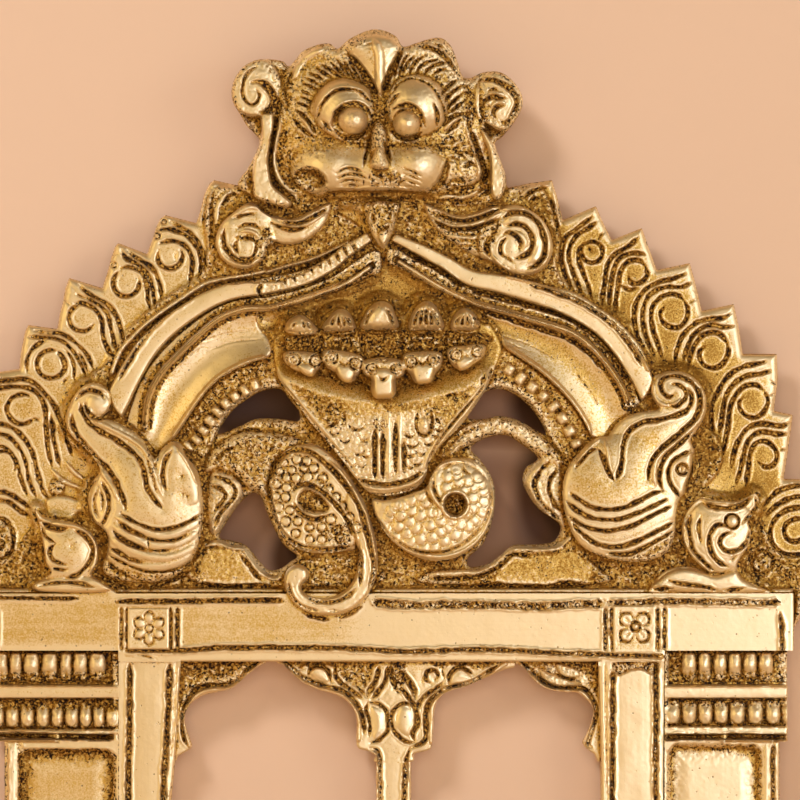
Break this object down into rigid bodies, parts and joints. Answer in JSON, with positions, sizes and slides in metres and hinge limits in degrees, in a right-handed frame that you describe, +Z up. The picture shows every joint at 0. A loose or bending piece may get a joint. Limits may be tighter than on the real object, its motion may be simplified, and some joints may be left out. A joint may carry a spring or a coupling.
{
  "type": "brass prabhavali frame",
  "caption": "Cast brass temple-front prabhavali: flame-edged torana with kirtimukha, makaras and naga over a lintel, pillars and arched openings, hung from a strap at the back.",
  "frame": {"origin": "centre of the hanging strap's hole on the wall plane, behind the kirtimukha", "axes": "+Z up, +Y into the wall behind the frame, front faces -Y, +X to the viewer's right"},
  "size_m": [0.266, 0.029, 0.33],
  "materials": {
    "polished_brass": "hand-polished cast brass with fine brush marks, brown patina left in the hollows",
    "chased_brass": "chased relief, rubbed bright on the ridges and black-brown in the lines",
    "antique_brass": "rough cast ground with dark mottled patina"
  },
  "bodies": {
    "root": {"torana_plate": "antique_brass", "arch_band_left": "chased_brass", "arch_band_right": "chased_brass", "bead_strip_left": "antique_brass", "bead_strip_right": "antique_brass", "kirtimukha": "polished_brass", "whisker_scroll_left": "chased_brass", "whisker_scroll_right": "chased_brass", "tongue_pendant": "chased_brass", "naga_hood": "chased_brass", "naga_coil_left": "chased_brass", "naga_coil_right": "chased_brass", "makara_left": "polished_brass", "makara_right": "polished_brass", "fish_left": "polished_brass", "fish_right": "polished_brass", "lintel_beam": "polished_brass", "rosette_block_left": "chased_brass", "rosette_block_right": "chased_brass", "pillar_left": "polished_brass", "pillar_right": "polished_brass", "bracket_left": "antique_brass", "bracket_right": "antique_brass", "mullion_capital": "chased_brass", "mullion": "polished_brass", "pilaster_capital_left": "chased_brass", "pilaster_capital_right": "chased_brass", "pilaster_panel_left": "polished_brass", "pilaster_panel_right": "polished_brass", "base_plinth": "polished_brass", "hanging_strap": "antique_brass", "torana_rivets": "antique_brass", "strap_rivets": "antique_brass", "rosette_rivets": "antique_brass", "tenon_pegs": "antique_brass", "pilaster_dowels": "antique_brass"}
  },
  "joints": []
}
